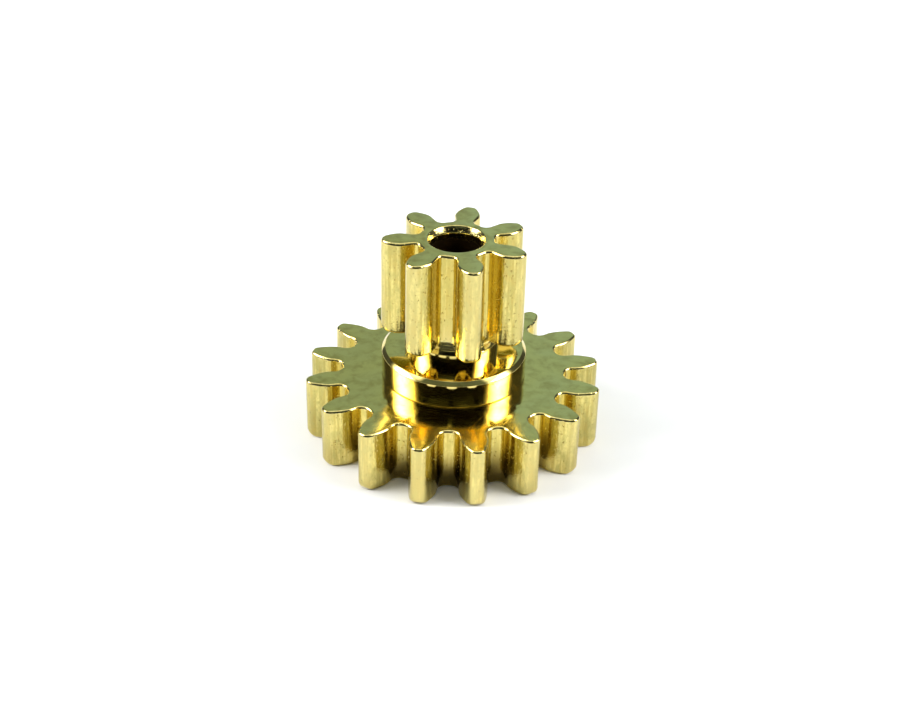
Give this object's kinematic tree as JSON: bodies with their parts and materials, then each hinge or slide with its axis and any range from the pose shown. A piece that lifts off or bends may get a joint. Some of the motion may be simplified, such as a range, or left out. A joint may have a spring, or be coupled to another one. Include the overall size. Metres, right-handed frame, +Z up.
{
  "type": "compound spur gear",
  "caption": "Brass compound spur gear: a wide wheel, a round collar, a plain neck and a small pinion on one hollow axis, for carrying drive from one gear stage to the next.",
  "frame": {"origin": "where the gear's axis meets the flat underside of the wheel", "axes": "+Z up the axis from the wheel to the pinion; +X through the middle of one wheel tooth"},
  "size_m": [0.018, 0.018, 0.0128],
  "materials": {
    "wheel_brass": "polished faces, finely tumbled teeth",
    "collar_brass": "mirror-turned, with a broken edge",
    "pinion_brass": "polished end face, finely tumbled teeth"
  },
  "bodies": {
    "root": {"wheel": "wheel_brass", "collar": "collar_brass", "pinion": "pinion_brass"}
  },
  "joints": []
}
